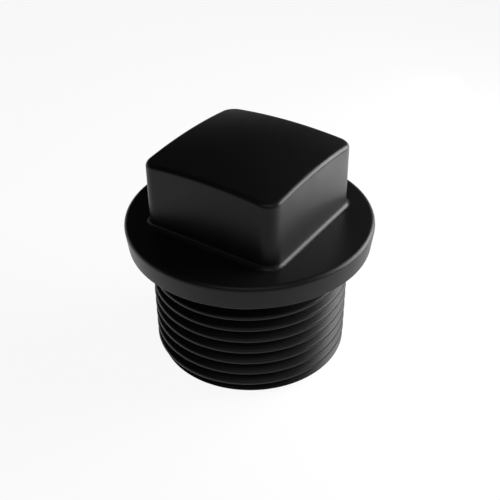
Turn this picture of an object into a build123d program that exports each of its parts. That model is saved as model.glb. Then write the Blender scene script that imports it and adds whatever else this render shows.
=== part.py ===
"""Threaded plug with a square drive head, moulded in one piece of black plastic.

Millimetres, +Z up. The origin is on the axis, at the thread end face, so the plug
stands on that face with its head up, the flats of the head square to X and Y.
"""
from build123d import *
import math
import os

# Parallel pipe thread, right hand
THREAD_D = 26.44
PITCH = 1.814
THREAD_DEPTH = 1.162
FLANK_ANGLE = 27.5
CREST_FLAT = 0.30
LEAD_IN = 1.15
LEAD_IN_BITE = 0.10
BARREL_LENGTH = 17.2
# Crest height above the end face, straight out along +X, which sets where the helix starts
THREAD_PHASE = 0.80

# Plain collar that the thread runs into, just under the flange
COLLAR_HEIGHT = 1.0
COLLAR_OVER_CREST = 0.06

# Round flange, wider at its upper rim, which is rounded in short bevels
FLANGE_D = 32.8
FLANGE_THICKNESS = 3.3
FLANGE_DRAFT = 5.0
FLANGE_TOP_RADIUS = 0.65
FLANGE_RIM_BEVELS = 3

# Square head with a slightly crowned top
HEAD_ACROSS_FLATS = 19.55
HEAD_HEIGHT = 9.4
HEAD_DRAFT = 0.4
HEAD_CORNER_RADIUS = 1.9
CROWN_RISE = 0.65
HEAD_EDGE_BEVEL = 0.35
HEAD_ROOT_RADIUS = 0.7

# Moulded hollow, open at the thread end
BARREL_WALL = 2.8
HEAD_WALL = 3.0
HEAD_FLOOR = 3.0
POCKET_DRAFT = 1.0
POCKET_CORNER_RADIUS = 3.0
MOUTH_CHAMFER = 0.4

# Overlaps that only let the solids meet cleanly
RIDGE_SINK = 0.25
CUT_SPARE = 1.0

crest_r = THREAD_D / 2
root_r = crest_r - THREAD_DEPTH
flange_z = BARREL_LENGTH
head_z = flange_z + FLANGE_THICKNESS
head_half = HEAD_ACROSS_FLATS / 2
edge_z = head_z + HEAD_HEIGHT
top_z = edge_z + CROWN_RISE


def revolved(points):
    """Turn a closed outline, given as (radius, height) pairs, about the axis."""
    outline = make_face(Polyline(*[(r, 0, z) for r, z in points], close=True))
    return revolve(outline, Axis.Z)


def ridge_turn():
    """One turn of the thread ridge, its crest a little proud and its foot sunk in."""
    slope = math.tan(math.radians(FLANK_ANGLE))
    inner_r = root_r - RIDGE_SINK
    outer_r = crest_r + CREST_FLAT / 2
    inner_half = CREST_FLAT / 2 + (crest_r - inner_r) * slope
    outer_half = CREST_FLAT / 2 - (outer_r - crest_r) * slope
    corners = [
        (inner_r, 0, -inner_half),
        (outer_r, 0, -outer_half),
        (outer_r, 0, outer_half),
        (inner_r, 0, inner_half),
    ]
    section = make_face(Polyline(*corners, close=True))
    path = Helix(pitch=PITCH, height=PITCH, radius=root_r)
    return sweep(section, path=path, is_frenet=True)


def thread_envelope():
    """The turned outline that the thread fills, from its lead-in into the collar."""
    top = flange_z - COLLAR_HEIGHT / 2
    return revolved([
        (0, 0),
        (root_r - LEAD_IN_BITE, 0),
        (crest_r, LEAD_IN),
        (crest_r, top),
        (0, top),
    ])


def ridge():
    """The whole ridge, turn above turn, each trimmed to the envelope."""
    turn = ridge_turn()
    envelope = thread_envelope()
    count = math.ceil((BARREL_LENGTH - COLLAR_HEIGHT / 2) / PITCH) + 1
    lowest = THREAD_PHASE - PITCH
    return [Pos(0, 0, lowest + index * PITCH) * turn & envelope for index in range(count)]


def barrel():
    """The root cylinder and collar, with the helical ridge, all bevelled by the lead-in."""
    bevel_z = LEAD_IN * LEAD_IN_BITE / (crest_r - root_r + LEAD_IN_BITE)
    collar_r = crest_r + COLLAR_OVER_CREST
    collar_z = flange_z - COLLAR_HEIGHT
    barrel_top = flange_z + FLANGE_THICKNESS / 2
    core = revolved([
        (0, 0),
        (root_r - LEAD_IN_BITE, 0),
        (root_r, bevel_z),
        (root_r, collar_z),
        (collar_r, collar_z),
        (collar_r, barrel_top),
        (0, barrel_top),
    ])
    return core + ridge()


def flange():
    """The round flange, drafted so that its lower rim is smaller."""
    rim_r = FLANGE_D / 2
    lower_r = rim_r - FLANGE_THICKNESS * math.tan(math.radians(FLANGE_DRAFT))
    arc_r = rim_r - FLANGE_TOP_RADIUS
    arc_z = head_z - FLANGE_TOP_RADIUS
    rim = []
    for index in range(FLANGE_RIM_BEVELS + 1):
        angle = math.radians(90 * index / FLANGE_RIM_BEVELS)
        height = arc_z + FLANGE_TOP_RADIUS * math.sin(angle)
        rim.append((arc_r + FLANGE_TOP_RADIUS * math.cos(angle), height))
    return revolved([(0, flange_z), (lower_r, flange_z), *rim, (0, head_z)])


def above_crown():
    """The space above the crowned top, which falls away alike along X and along Y."""
    reach = head_half + CUT_SPARE
    fall = CROWN_RISE * (reach / head_half) ** 2
    along_x = Bezier((-reach, 0, -fall), (0, 0, fall), (reach, 0, -fall))
    along_y = Bezier((0, -reach, -fall), (0, 0, fall), (0, reach, -fall))
    crown = sweep(Pos(0, -reach, -fall) * along_x, path=along_y).face()
    return extrude(Pos(0, 0, top_z) * crown, 2 * fall + CUT_SPARE, dir=(0, 0, 1))


def head():
    """The drafted square head, cut by the crown and bevelled along its bowed top edge."""
    base = Pos(0, 0, head_z) * RectangleRounded(
        HEAD_ACROSS_FLATS, HEAD_ACROSS_FLATS, HEAD_CORNER_RADIUS
    )
    block = extrude(base, HEAD_HEIGHT + CROWN_RISE + CUT_SPARE, taper=HEAD_DRAFT)
    block = block - above_crown()
    rim = block.faces().sort_by(Axis.Z)[-1].edges()
    return chamfer(rim, HEAD_EDGE_BEVEL)


def hollow():
    """The space left by the core pin: a round bore, then a square pocket in the head."""
    bore_r = root_r - BARREL_WALL
    ledge_z = head_z - HEAD_FLOOR
    bore = revolved([
        (0, -CUT_SPARE),
        (bore_r + MOUTH_CHAMFER + CUT_SPARE, -CUT_SPARE),
        (bore_r, MOUTH_CHAMFER),
        (bore_r, ledge_z),
        (0, ledge_z),
    ])
    pocket_width = HEAD_ACROSS_FLATS - 2 * HEAD_WALL
    pocket_z = ledge_z - CUT_SPARE
    outline = Pos(0, 0, pocket_z) * RectangleRounded(
        pocket_width, pocket_width, POCKET_CORNER_RADIUS
    )
    return bore + extrude(outline, top_z - HEAD_FLOOR - pocket_z, taper=POCKET_DRAFT)


def threaded_plug():
    """The whole moulding."""
    upper = flange() + head()
    root = upper.edges().filter_by_position(Axis.Z, head_z - 0.01, head_z + 0.01)
    root = root.filter_by(lambda edge: edge.bounding_box().size.length < FLANGE_D)
    upper = fillet(root, HEAD_ROOT_RADIUS)
    return upper + barrel() - hollow()


os.makedirs("parts", exist_ok=True)
export_step(threaded_plug(), "parts/threaded_plug.step")
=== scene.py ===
"""Threaded plug on a pale floor: the moulded body with its rounded thread and edges.

The CAD node gives the place and the box. The body shown here repeats its sizes and adds
what a mould leaves: rounded thread crests and roots, rounded rims, and a fine grain.
"""

import math

import bmesh
import bpy
from mathutils import Matrix, Vector


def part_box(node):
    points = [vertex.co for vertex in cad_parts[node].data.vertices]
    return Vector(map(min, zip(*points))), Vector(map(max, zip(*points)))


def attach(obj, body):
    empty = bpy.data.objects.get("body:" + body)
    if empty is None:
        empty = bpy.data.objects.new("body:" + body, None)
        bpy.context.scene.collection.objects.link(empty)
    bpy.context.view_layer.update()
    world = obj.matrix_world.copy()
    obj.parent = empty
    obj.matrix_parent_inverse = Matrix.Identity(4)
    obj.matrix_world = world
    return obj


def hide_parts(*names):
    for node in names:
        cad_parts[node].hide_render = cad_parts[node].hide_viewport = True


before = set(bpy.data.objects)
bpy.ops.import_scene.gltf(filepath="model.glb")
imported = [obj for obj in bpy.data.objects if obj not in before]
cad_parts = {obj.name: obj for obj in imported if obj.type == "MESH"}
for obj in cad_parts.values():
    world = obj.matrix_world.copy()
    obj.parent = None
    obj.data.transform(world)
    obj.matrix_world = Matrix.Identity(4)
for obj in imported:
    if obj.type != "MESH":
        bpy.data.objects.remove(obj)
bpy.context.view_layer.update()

MM = 0.001

# Thread, as in the part, but with its crest rounded as moulds leave it
THREAD_D = 26.44 * MM
PITCH = 1.814 * MM
THREAD_DEPTH = 1.162 * MM
FLANK_ANGLE = math.radians(27.5)
CREST_ROUNDING = 0.36 * MM
THREAD_PHASE = 0.80 * MM
LEAD_IN = 1.15 * MM
LEAD_IN_BITE = 0.10 * MM
BARREL_LENGTH = 17.2 * MM
TURN_STEPS = 144
ROUNDING_STEPS = 6

# Collar and flange, as in the part
COLLAR_HEIGHT = 1.0 * MM
COLLAR_OVER_CREST = 0.06 * MM
FLANGE_THICKNESS = 3.3 * MM
FLANGE_DRAFT = math.radians(5.0)
FLANGE_TOP_RADIUS = 0.65 * MM
FLANGE_LOWER_RADIUS = 0.15 * MM

# Square head, as in the part
HEAD_ACROSS_FLATS = 19.55 * MM
HEAD_HEIGHT = 9.4 * MM
HEAD_DRAFT = math.radians(0.4)
HEAD_CORNER_RADIUS = 1.9 * MM
HEAD_EDGE_RADIUS = 0.55 * MM
HEAD_ROOT_RADIUS = 0.7 * MM
CORNER_STEPS = 12
SIDE_STEPS = 28
EDGE_STEPS = 6

# Moulded hollow, as in the part
BARREL_WALL = 2.8 * MM
HEAD_WALL = 3.0 * MM
HEAD_FLOOR = 3.0 * MM
POCKET_DRAFT = math.radians(1.0)
POCKET_CORNER_RADIUS = 3.0 * MM
POCKET_END_RADIUS = 0.8 * MM
MOUTH_CHAMFER = 0.4 * MM

# Cutting solids reach this far past what they cut, and into each other
CUT_SPARE = 1.0 * MM
# Corners nearer than this are one corner
TINY = 0.0005 * MM
# A corner is taken to be at a height, or on the axis, when it is this near
NEAR = 0.01 * MM
# Faces that meet at less than this are shaded as one curved surface
SMOOTH_ANGLE = math.radians(32)

# The sizes that follow from those above
crest_r = THREAD_D / 2
root_r = crest_r - THREAD_DEPTH
flange_z = BARREL_LENGTH
head_z = flange_z + FLANGE_THICKNESS
edge_z = head_z + HEAD_HEIGHT
head_half = HEAD_ACROSS_FLATS / 2

# The plastic: its colour and gloss, and the size of its flow marks and its grain
PLASTIC_BLACK = "#0E0E0E"
PLASTIC_IOR = 1.27
PLASTIC_ROUGHNESS = (0.33, 0.39)
FLOW_MARK_LENGTH = 5 * MM
FLOW_MARK_DETAIL = 3
FLOW_MARK_SPREAD = (0.3, 0.7)
GRAIN_WIDTH = 0.15 * MM
GRAIN_DEPTH = 0.01 * MM
GRAIN_DETAIL = 2
GRAIN_STRENGTH = 0.15

# The floor: its paper, its size, and how much of its look is its own plain white
PAPER_WHITE = "#F4F4F4"
PAPER_ROUGHNESS = 0.9
FLOOR_WHITE_SHARE = 0.92
FLOOR_WIDTH = 3000 * MM
# The far edges turn up a little, so that a camera 15 degrees up still sees only floor
FLOOR_TURN_UP = 140 * MM
# The floor lies this far under the end face, so that the two never share a place
FLOOR_GAP = 0.01 * MM

# The camera, from the photograph's perspective, its lens and sensor in millimetres
CAMERA_PLACE = Vector((50.79, -75.62, 78.46)) * MM
CAMERA_AIM = Vector((-0.02, 0.04, 14.40)) * MM
CAMERA_ROLL = math.radians(-0.46)
CAMERA_LENS = 59.2
CAMERA_SENSOR = 36.0
CAMERA_CLIP = 1 * MM

# Lamps: where each stands and faces, its width and height, and its power in watts
KEY_PLACE = Vector((61.6, 63.8, 52.0)) * MM
KEY_AIM = Vector((0, 0, 18.0)) * MM
KEY_SIZE = (85 * MM, 60 * MM)
KEY_POWER = 0.21
STRIP_PLACE = Vector((33.1, 40.3, 5.0)) * MM
STRIP_AIM = Vector((-8.4, 12.4, 5.0)) * MM
STRIP_SIZE = (150 * MM, 10 * MM)
STRIP_POWER = 0.014
FILL_PLACE = Vector((144.6, -214.4, 349.0)) * MM
FILL_AIM = KEY_AIM
FILL_SIZE = (400 * MM, 300 * MM)
FILL_POWER = 0.45
ROOM_GREY = "#303030"


# Small tools for modelling

def only(piece):
    """Make one piece the active one and the only one selected."""
    bpy.ops.object.select_all(action="DESELECT")
    piece.select_set(True)
    bpy.context.view_layer.objects.active = piece


def begin(name):
    """Start a piece as one corner of a small plane, left in edit mode at the origin."""
    bpy.ops.object.select_all(action="DESELECT")
    bpy.ops.mesh.primitive_plane_add(size=MM)
    piece = bpy.context.active_object
    piece.name = name
    piece.data.name = name
    bpy.ops.object.mode_set(mode="EDIT")
    bpy.ops.mesh.select_mode(type="VERT")
    bpy.ops.mesh.merge(type="CENTER")
    return piece


def trace(name, points):
    """A line through (radius, height) points, drawn by extruding one vertex along them."""
    piece = begin(name)
    here = Vector((points[0][0], 0, points[0][1]))
    bpy.ops.transform.translate(value=here)
    for radius, height in points[1:]:
        there = Vector((radius, 0, height))
        bpy.ops.mesh.extrude_region_move(TRANSFORM_OT_translate={"value": there - here})
        here = there
    bpy.ops.object.mode_set(mode="OBJECT")
    return piece


def modify(piece, kind, **settings):
    """Put a modifier on a piece and apply it."""
    only(piece)
    modifier = piece.modifiers.new(kind.title(), kind)
    for key, value in settings.items():
        setattr(modifier, key, value)
    bpy.ops.object.modifier_apply(modifier=modifier.name)


def clean(piece):
    """Merge doubled corners and turn every face outwards."""
    only(piece)
    bpy.ops.object.mode_set(mode="EDIT")
    bpy.ops.mesh.select_all(action="SELECT")
    bpy.ops.mesh.remove_doubles(threshold=TINY)
    bpy.ops.mesh.normals_make_consistent(inside=False)
    bpy.ops.object.mode_set(mode="OBJECT")


def turned(name, points):
    """A solid turned about the upright axis from an outline that starts and ends on it."""
    piece = trace(name, points)
    modify(piece, "SCREW", angle=2 * math.pi, screw_offset=0, steps=TURN_STEPS,
           render_steps=TURN_STEPS, use_merge_vertices=True, merge_threshold=TINY)
    clean(piece)
    return piece


def combine(piece, tool, operation):
    """Join a tool to the piece, cut it away, or keep only what both fill."""
    modify(piece, "BOOLEAN", operation=operation, solver="EXACT", object=tool)
    bpy.data.objects.remove(tool)


def arc(centre, radius, start, end, steps):
    """Points on an arc about a (radius, height) centre, angles up from outward."""
    angles = [start + (end - start) * index / steps for index in range(steps + 1)]
    return [(centre[0] + radius * math.cos(a), centre[1] + radius * math.sin(a)) for a in angles]


# The barrel

def thread_profile():
    """One pitch of the thread, root to root, its root and crest both rounded."""
    lean = FLANK_ANGLE
    # The flanks would meet in sharp edges this far apart, and each rounding takes its share
    sharp_depth = PITCH / (2 * math.tan(lean))
    share = 1 / math.sin(lean) - 1
    root_rounding = (sharp_depth - THREAD_DEPTH) / share - CREST_ROUNDING
    upright = math.pi / 2
    root_x = root_r + root_rounding
    crest = arc((crest_r - CREST_ROUNDING, 0), CREST_ROUNDING,
                lean - upright, upright - lean, ROUNDING_STEPS)
    below = arc((root_x, -PITCH / 2), root_rounding,
                math.pi, upright + lean, ROUNDING_STEPS // 2)
    above = arc((root_x, PITCH / 2), root_rounding,
                -upright - lean, -math.pi, ROUNDING_STEPS // 2)
    return below + crest + above


def cut_flat(piece, height, keep_above):
    """Cut the piece level at a height, close it, and keep one side."""
    only(piece)
    bpy.ops.object.mode_set(mode="EDIT")
    bpy.ops.mesh.select_all(action="SELECT")
    bpy.ops.mesh.bisect(plane_co=(0, 0, height), plane_no=(0, 0, 1), use_fill=True,
                        threshold=TINY, clear_inner=keep_above, clear_outer=not keep_above)
    bpy.ops.object.mode_set(mode="OBJECT")


def threaded_barrel():
    """The helix wound from its profile, cut level at both ends, with its lead-in cone."""
    start = THREAD_PHASE - 2 * PITCH
    turns = math.ceil((flange_z - start) / PITCH) + 1
    profile = [(radius, height + start) for radius, height in thread_profile()]
    barrel = trace("barrel", profile)
    modify(barrel, "SCREW", angle=2 * math.pi, screw_offset=PITCH, iterations=turns,
           steps=TURN_STEPS, render_steps=TURN_STEPS, use_merge_vertices=True,
           merge_threshold=TINY)
    clean(barrel)
    cut_flat(barrel, 0, keep_above=True)
    cut_flat(barrel, flange_z - COLLAR_HEIGHT / 2, keep_above=False)
    clean(barrel)
    slope = (crest_r - root_r + LEAD_IN_BITE) / LEAD_IN
    wide_z = LEAD_IN + CUT_SPARE
    cone = turned("lead_in", [
        (0, -CUT_SPARE),
        (root_r - LEAD_IN_BITE - CUT_SPARE * slope, -CUT_SPARE),
        (crest_r + CUT_SPARE * slope, wide_z),
        (crest_r + CUT_SPARE * slope, flange_z),
        (0, flange_z),
    ])
    combine(barrel, cone, "INTERSECT")
    return barrel


# The flange and head, one mesh grown from the foot of the head

def select_if(test):
    """Select the vertices that pass a test, and what they bound."""
    bpy.ops.mesh.select_all(action="DESELECT")
    mesh = bmesh.from_edit_mesh(bpy.context.edit_object.data)
    for vertex in mesh.verts:
        if not vertex.hide and test(vertex.co):
            vertex.select_set(True)
    mesh.select_flush(True)
    bmesh.update_edit_mesh(bpy.context.edit_object.data)


def rounded_square(name, width, corner_radius, height):
    """A level rounded square as a face, its sides divided, left in edit mode."""
    bpy.ops.object.select_all(action="DESELECT")
    bpy.ops.mesh.primitive_plane_add(size=width, location=(0, 0, height))
    piece = bpy.context.active_object
    piece.name = name
    piece.data.name = name
    bpy.ops.object.transform_apply(location=True, rotation=True, scale=True)
    bpy.ops.object.mode_set(mode="EDIT")
    bpy.ops.mesh.select_mode(type="VERT")
    bpy.ops.mesh.select_all(action="SELECT")
    bpy.ops.mesh.bevel(offset=corner_radius, segments=CORNER_STEPS, affect="VERTICES")
    bpy.ops.mesh.select_all(action="SELECT")
    bpy.ops.mesh.delete(type="ONLY_FACE")
    bpy.ops.mesh.select_mode(type="EDGE")
    bpy.ops.mesh.select_all(action="DESELECT")
    mesh = bmesh.from_edit_mesh(piece.data)
    for edge in mesh.edges:
        edge.select_set(edge.calc_length() > width / 2)
    bmesh.update_edit_mesh(piece.data)
    bpy.ops.mesh.subdivide(number_cuts=SIDE_STEPS - 1)
    bpy.ops.mesh.select_all(action="SELECT")
    bpy.ops.mesh.edge_face_add()
    mesh = bmesh.from_edit_mesh(piece.data)
    mesh.normal_update()
    if mesh.faces[0].normal.z < 0:
        bpy.ops.mesh.flip_normals()
    return piece


def rise(steps):
    """Step the selected face inwards and up, by (inward, upward) amounts."""
    for inward, upward in steps:
        bpy.ops.mesh.inset(thickness=inward, depth=upward, use_even_offset=True)


def differences(points):
    """What lies between neighbouring points, as (inward, upward) steps."""
    return [(a[0] - b[0], b[1] - a[1]) for a, b in zip(points, points[1:])]


def widen(rings, radius, height):
    """Extrude the selected loop through (radius, height) rings."""
    for ring_r, ring_z in rings:
        bpy.ops.mesh.extrude_region_move(
            TRANSFORM_OT_translate={"value": (0, 0, ring_z - height)})
        factor = ring_r / radius
        bpy.ops.transform.resize(value=(factor, factor, 1), center_override=(0, 0, ring_z))
        radius, height = ring_r, ring_z


def fill_top():
    """Close the head's top with a grid whose corners sit mid-way round each corner."""
    bpy.ops.mesh.select_mode(type="VERT")
    select_if(lambda co: co.z > edge_z - NEAR)
    bpy.ops.mesh.select_mode(type="EDGE")
    bpy.ops.mesh.fill_grid(span=CORNER_STEPS + SIDE_STEPS, offset=0)
    bpy.ops.mesh.select_mode(type="VERT")


def crown_top(crown_rise):
    """Lift the head's top into a shallow dome of the right radius."""
    dome_r = (head_half ** 2 + crown_rise ** 2) / (2 * crown_rise)
    top = edge_z - HEAD_EDGE_RADIUS - NEAR
    select_if(lambda co: co.z < top)
    bpy.ops.mesh.hide(unselected=False)
    select_if(lambda co: co.z > top and co.xy.length < NEAR)
    bpy.ops.transform.translate(
        value=(0, 0, dome_r), use_proportional_edit=True,
        proportional_edit_falloff="SPHERE", proportional_size=dome_r)
    bpy.ops.mesh.select_all(action="SELECT")
    bpy.ops.transform.translate(value=(0, 0, crown_rise - dome_r))
    bpy.ops.mesh.reveal(select=False)


def grow_flange(rim_r):
    """Run the open loop at the head's foot out to the rim, down, and in under the collar."""
    select_if(lambda co: co.z < head_z + NEAR)
    bpy.ops.mesh.extrude_region_move(TRANSFORM_OT_translate={"value": (0, 0, 0)})
    bpy.ops.transform.tosphere(value=1)
    mesh = bmesh.from_edit_mesh(bpy.context.edit_object.data)
    loop_r = max(vertex.co.xy.length for vertex in mesh.verts if vertex.select)
    lower_r = rim_r - FLANGE_THICKNESS * math.tan(FLANGE_DRAFT)
    rim = arc((rim_r - FLANGE_TOP_RADIUS, head_z - FLANGE_TOP_RADIUS), FLANGE_TOP_RADIUS,
              math.pi / 2, 0, EDGE_STEPS)
    low = arc((lower_r - FLANGE_LOWER_RADIUS, flange_z + FLANGE_LOWER_RADIUS),
              FLANGE_LOWER_RADIUS, 0, -math.pi / 2, EDGE_STEPS // 2)
    first = rim[0]
    factor = first[0] / loop_r
    bpy.ops.transform.resize(value=(factor, factor, 1), center_override=(0, 0, head_z))
    collar_r = crest_r + COLLAR_OVER_CREST
    collar_z = flange_z - COLLAR_HEIGHT
    rings = rim[1:] + low + [(collar_r, flange_z), (collar_r, collar_z)]
    widen(rings, first[0], head_z)
    bpy.ops.mesh.edge_face_add()


def upper_body(rim_r, crown_rise):
    """Collar, flange and head: rings outwards and down, then steps inwards and up."""
    foot_width = HEAD_ACROSS_FLATS + 2 * HEAD_ROOT_RADIUS
    foot_corner = HEAD_CORNER_RADIUS + HEAD_ROOT_RADIUS
    body = rounded_square("plug_body", foot_width, foot_corner, head_z)
    foot = arc((HEAD_ROOT_RADIUS, HEAD_ROOT_RADIUS), HEAD_ROOT_RADIUS,
               -math.pi / 2, -math.pi, EDGE_STEPS)
    lean = HEAD_DRAFT
    side = HEAD_HEIGHT - HEAD_ROOT_RADIUS - HEAD_EDGE_RADIUS
    rise(differences(foot))
    rise([(side * math.tan(lean), side)])
    edge = arc((0, 0), HEAD_EDGE_RADIUS, 0, math.pi / 2, EDGE_STEPS)
    rise(differences(edge))
    bpy.ops.mesh.delete(type="ONLY_FACE")
    fill_top()
    crown_top(crown_rise)
    grow_flange(rim_r)
    bpy.ops.object.mode_set(mode="OBJECT")
    clean(body)
    return body


# The hollow

def bore():
    """The round core pin that leaves the barrel hollow."""
    bore_r = root_r - BARREL_WALL
    ledge_z = head_z - HEAD_FLOOR
    return turned("bore", [
        (0, -CUT_SPARE),
        (bore_r + MOUTH_CHAMFER + CUT_SPARE, -CUT_SPARE),
        (bore_r, MOUTH_CHAMFER),
        (bore_r, ledge_z),
        (0, ledge_z),
    ])


def pocket(top_z):
    """The square end of the core pin, inside the head."""
    ledge_z = head_z - HEAD_FLOOR
    width = HEAD_ACROSS_FLATS - 2 * HEAD_WALL
    pin = rounded_square("pocket", width, POCKET_CORNER_RADIUS, ledge_z - CUT_SPARE)
    length = top_z - HEAD_FLOOR - ledge_z + CUT_SPARE
    side = length - POCKET_END_RADIUS
    bpy.ops.mesh.extrude_region_move(TRANSFORM_OT_translate={"value": (0, 0, 0)})
    rise([(side * math.tan(POCKET_DRAFT), side)])
    rise(differences(arc((0, 0), POCKET_END_RADIUS, 0, math.pi / 2, EDGE_STEPS)))
    bpy.ops.object.mode_set(mode="OBJECT")
    clean(pin)
    return pin


# The whole plug

def plug(box):
    """The finished moulding, within the box of the CAD node."""
    top_z = box[1].z
    body = upper_body(box[1].x, top_z - edge_z)
    combine(body, threaded_barrel(), "UNION")
    combine(body, bore(), "DIFFERENCE")
    combine(body, pocket(top_z), "DIFFERENCE")
    clean(body)
    only(body)
    bpy.ops.object.shade_smooth_by_angle(angle=SMOOTH_ANGLE)
    modify(body, "WEIGHTED_NORMAL", keep_sharp=True)
    return body


# Materials

def linear(hex_colour):
    """An sRGB hex value as linear red, green, blue and alpha."""
    channels = [int(hex_colour[i:i + 2], 16) / 255 for i in (1, 3, 5)]
    return [c / 12.92 if c <= 0.04045 else ((c + 0.055) / 1.055) ** 2.4 for c in channels] + [1]


def add_node(tree, kind, settings=None, values=None, links=None):
    """Add a node, set its properties and socket values, and link its inputs."""
    node = tree.nodes.new(kind)
    for key, value in (settings or {}).items():
        setattr(node, key, value)
    for socket, value in (values or {}).items():
        node.inputs[socket].default_value = value
    for socket, source in (links or {}).items():
        tree.links.new(source, node.inputs[socket])
    return node


def empty_material(name):
    """A named material with nothing in its node tree."""
    material = bpy.data.materials.new(name)
    material.use_nodes = True
    material.node_tree.nodes.clear()
    return material, material.node_tree


def moulded_polypropylene():
    """Black polypropylene, injection moulded: satin, with a faint unevenness in its gloss."""
    material, tree = empty_material("moulded_black_polypropylene")
    place = add_node(tree, "ShaderNodeTexCoord").outputs["Object"]
    # Flow marks a few millimetres long, which only change the gloss a little
    flow = add_node(tree, "ShaderNodeTexNoise",
                    values={"Scale": 1 / FLOW_MARK_LENGTH, "Detail": FLOW_MARK_DETAIL},
                    links={"Vector": place})
    gloss = add_node(tree, "ShaderNodeMapRange",
                     values={"From Min": FLOW_MARK_SPREAD[0], "From Max": FLOW_MARK_SPREAD[1],
                             "To Min": PLASTIC_ROUGHNESS[0], "To Max": PLASTIC_ROUGHNESS[1]},
                     links={"Value": flow.outputs["Fac"]})
    # Fine spark-eroded grain, drawn coarser than it is so that it shows at all
    grain = add_node(tree, "ShaderNodeTexNoise",
                     values={"Scale": 1 / GRAIN_WIDTH, "Detail": GRAIN_DETAIL},
                     links={"Vector": place})
    bump = add_node(tree, "ShaderNodeBump",
                    values={"Strength": GRAIN_STRENGTH, "Distance": GRAIN_DEPTH},
                    links={"Height": grain.outputs["Fac"]})
    shader = add_node(tree, "ShaderNodeBsdfPrincipled",
                      values={"Base Color": linear(PLASTIC_BLACK), "IOR": PLASTIC_IOR},
                      links={"Roughness": gloss.outputs["Result"],
                             "Normal": bump.outputs["Normal"]})
    add_node(tree, "ShaderNodeOutputMaterial", links={"Surface": shader.outputs["BSDF"]})
    return material


def seen_directly(tree):
    """A value of 1 for rays from the camera, from a mirror or through glass."""
    path = add_node(tree, "ShaderNodeLightPath")
    shiny = add_node(tree, "ShaderNodeMath", {"operation": "MAXIMUM"},
                     links={0: path.outputs["Is Camera Ray"], 1: path.outputs["Is Glossy Ray"]})
    return add_node(tree, "ShaderNodeMath", {"operation": "MAXIMUM"},
                    links={0: shiny.outputs[0], 1: path.outputs["Is Transmission Ray"]}).outputs[0]


def white_paper():
    """A matt white floor, mostly shown at its own white so that its shadow stays faint."""
    material, tree = empty_material("white_paper")
    lit = add_node(tree, "ShaderNodeBsdfPrincipled",
                   values={"Base Color": linear(PAPER_WHITE), "Roughness": PAPER_ROUGHNESS})
    plain = add_node(tree, "ShaderNodeEmission", values={"Color": (1, 1, 1, 1), "Strength": 1})
    share = add_node(tree, "ShaderNodeMath", {"operation": "MULTIPLY"},
                     values={1: FLOOR_WHITE_SHARE}, links={0: seen_directly(tree)})
    mix = add_node(tree, "ShaderNodeMixShader",
                   links={0: share.outputs[0], 1: lit.outputs["BSDF"], 2: plain.outputs["Emission"]})
    add_node(tree, "ShaderNodeOutputMaterial", links={"Surface": mix.outputs["Shader"]})
    return material


# The stage, lights and camera

def floor():
    """A wide level floor under the plug, turned up at its far edges."""
    bpy.ops.object.select_all(action="DESELECT")
    bpy.ops.mesh.primitive_plane_add(size=FLOOR_WIDTH, location=(0, 0, -FLOOR_GAP))
    piece = bpy.context.active_object
    piece.name = "floor"
    bpy.ops.object.transform_apply(location=True, rotation=True, scale=True)
    bpy.ops.object.mode_set(mode="EDIT")
    bpy.ops.mesh.select_mode(type="EDGE")
    bpy.ops.mesh.select_all(action="SELECT")
    bpy.ops.mesh.extrude_edges_move(TRANSFORM_OT_translate={"value": (0, 0, FLOOR_TURN_UP)})
    bpy.ops.object.mode_set(mode="OBJECT")
    piece.data.materials.append(white_paper())
    return piece


def soft_light(name, place, aim, size, power):
    """A rectangular lamp that faces a point, and that no camera sees."""
    lamp = bpy.data.lights.new(name, "AREA")
    lamp.shape = "RECTANGLE"
    lamp.size, lamp.size_y = size
    lamp.energy = power
    holder = bpy.data.objects.new(name, lamp)
    bpy.context.scene.collection.objects.link(holder)
    holder.location = place
    holder.rotation_euler = (aim - place).to_track_quat("-Z", "Y").to_euler()
    holder.visible_camera = False


def lights():
    """A soft key from behind on the right, a low strip beside it, a fill, and a dark room."""
    soft_light("key", KEY_PLACE, KEY_AIM, KEY_SIZE, KEY_POWER)
    soft_light("strip", STRIP_PLACE, STRIP_AIM, STRIP_SIZE, STRIP_POWER)
    soft_light("fill", FILL_PLACE, FILL_AIM, FILL_SIZE, FILL_POWER)
    world = bpy.data.worlds.new("room")
    world.use_nodes = True
    tree = world.node_tree
    tree.nodes.clear()
    shade = add_node(tree, "ShaderNodeBackground", values={"Color": linear(ROOM_GREY)})
    add_node(tree, "ShaderNodeOutputWorld", links={"Surface": shade.outputs["Background"]})
    bpy.context.scene.world = world


def camera():
    """The camera at the photograph's place, level but for its small roll."""
    eye = bpy.data.cameras.new("camera")
    eye.sensor_width = CAMERA_SENSOR
    eye.lens = CAMERA_LENS
    eye.clip_start = CAMERA_CLIP
    holder = bpy.data.objects.new("camera", eye)
    bpy.context.scene.collection.objects.link(holder)
    look = (CAMERA_AIM - CAMERA_PLACE).to_track_quat("-Z", "Y")
    holder.location = CAMERA_PLACE
    holder.rotation_euler = (look.to_matrix() @ Matrix.Rotation(CAMERA_ROLL, 3, "Z")).to_euler()
    bpy.context.scene.camera = holder


# The scene, put together

body = plug(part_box("threaded_plug"))
body.data.materials.clear()
body.data.materials.append(moulded_polypropylene())
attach(body, "root")
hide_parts("threaded_plug")

floor()
lights()
camera()
bpy.context.scene.view_settings.view_transform = "Standard"
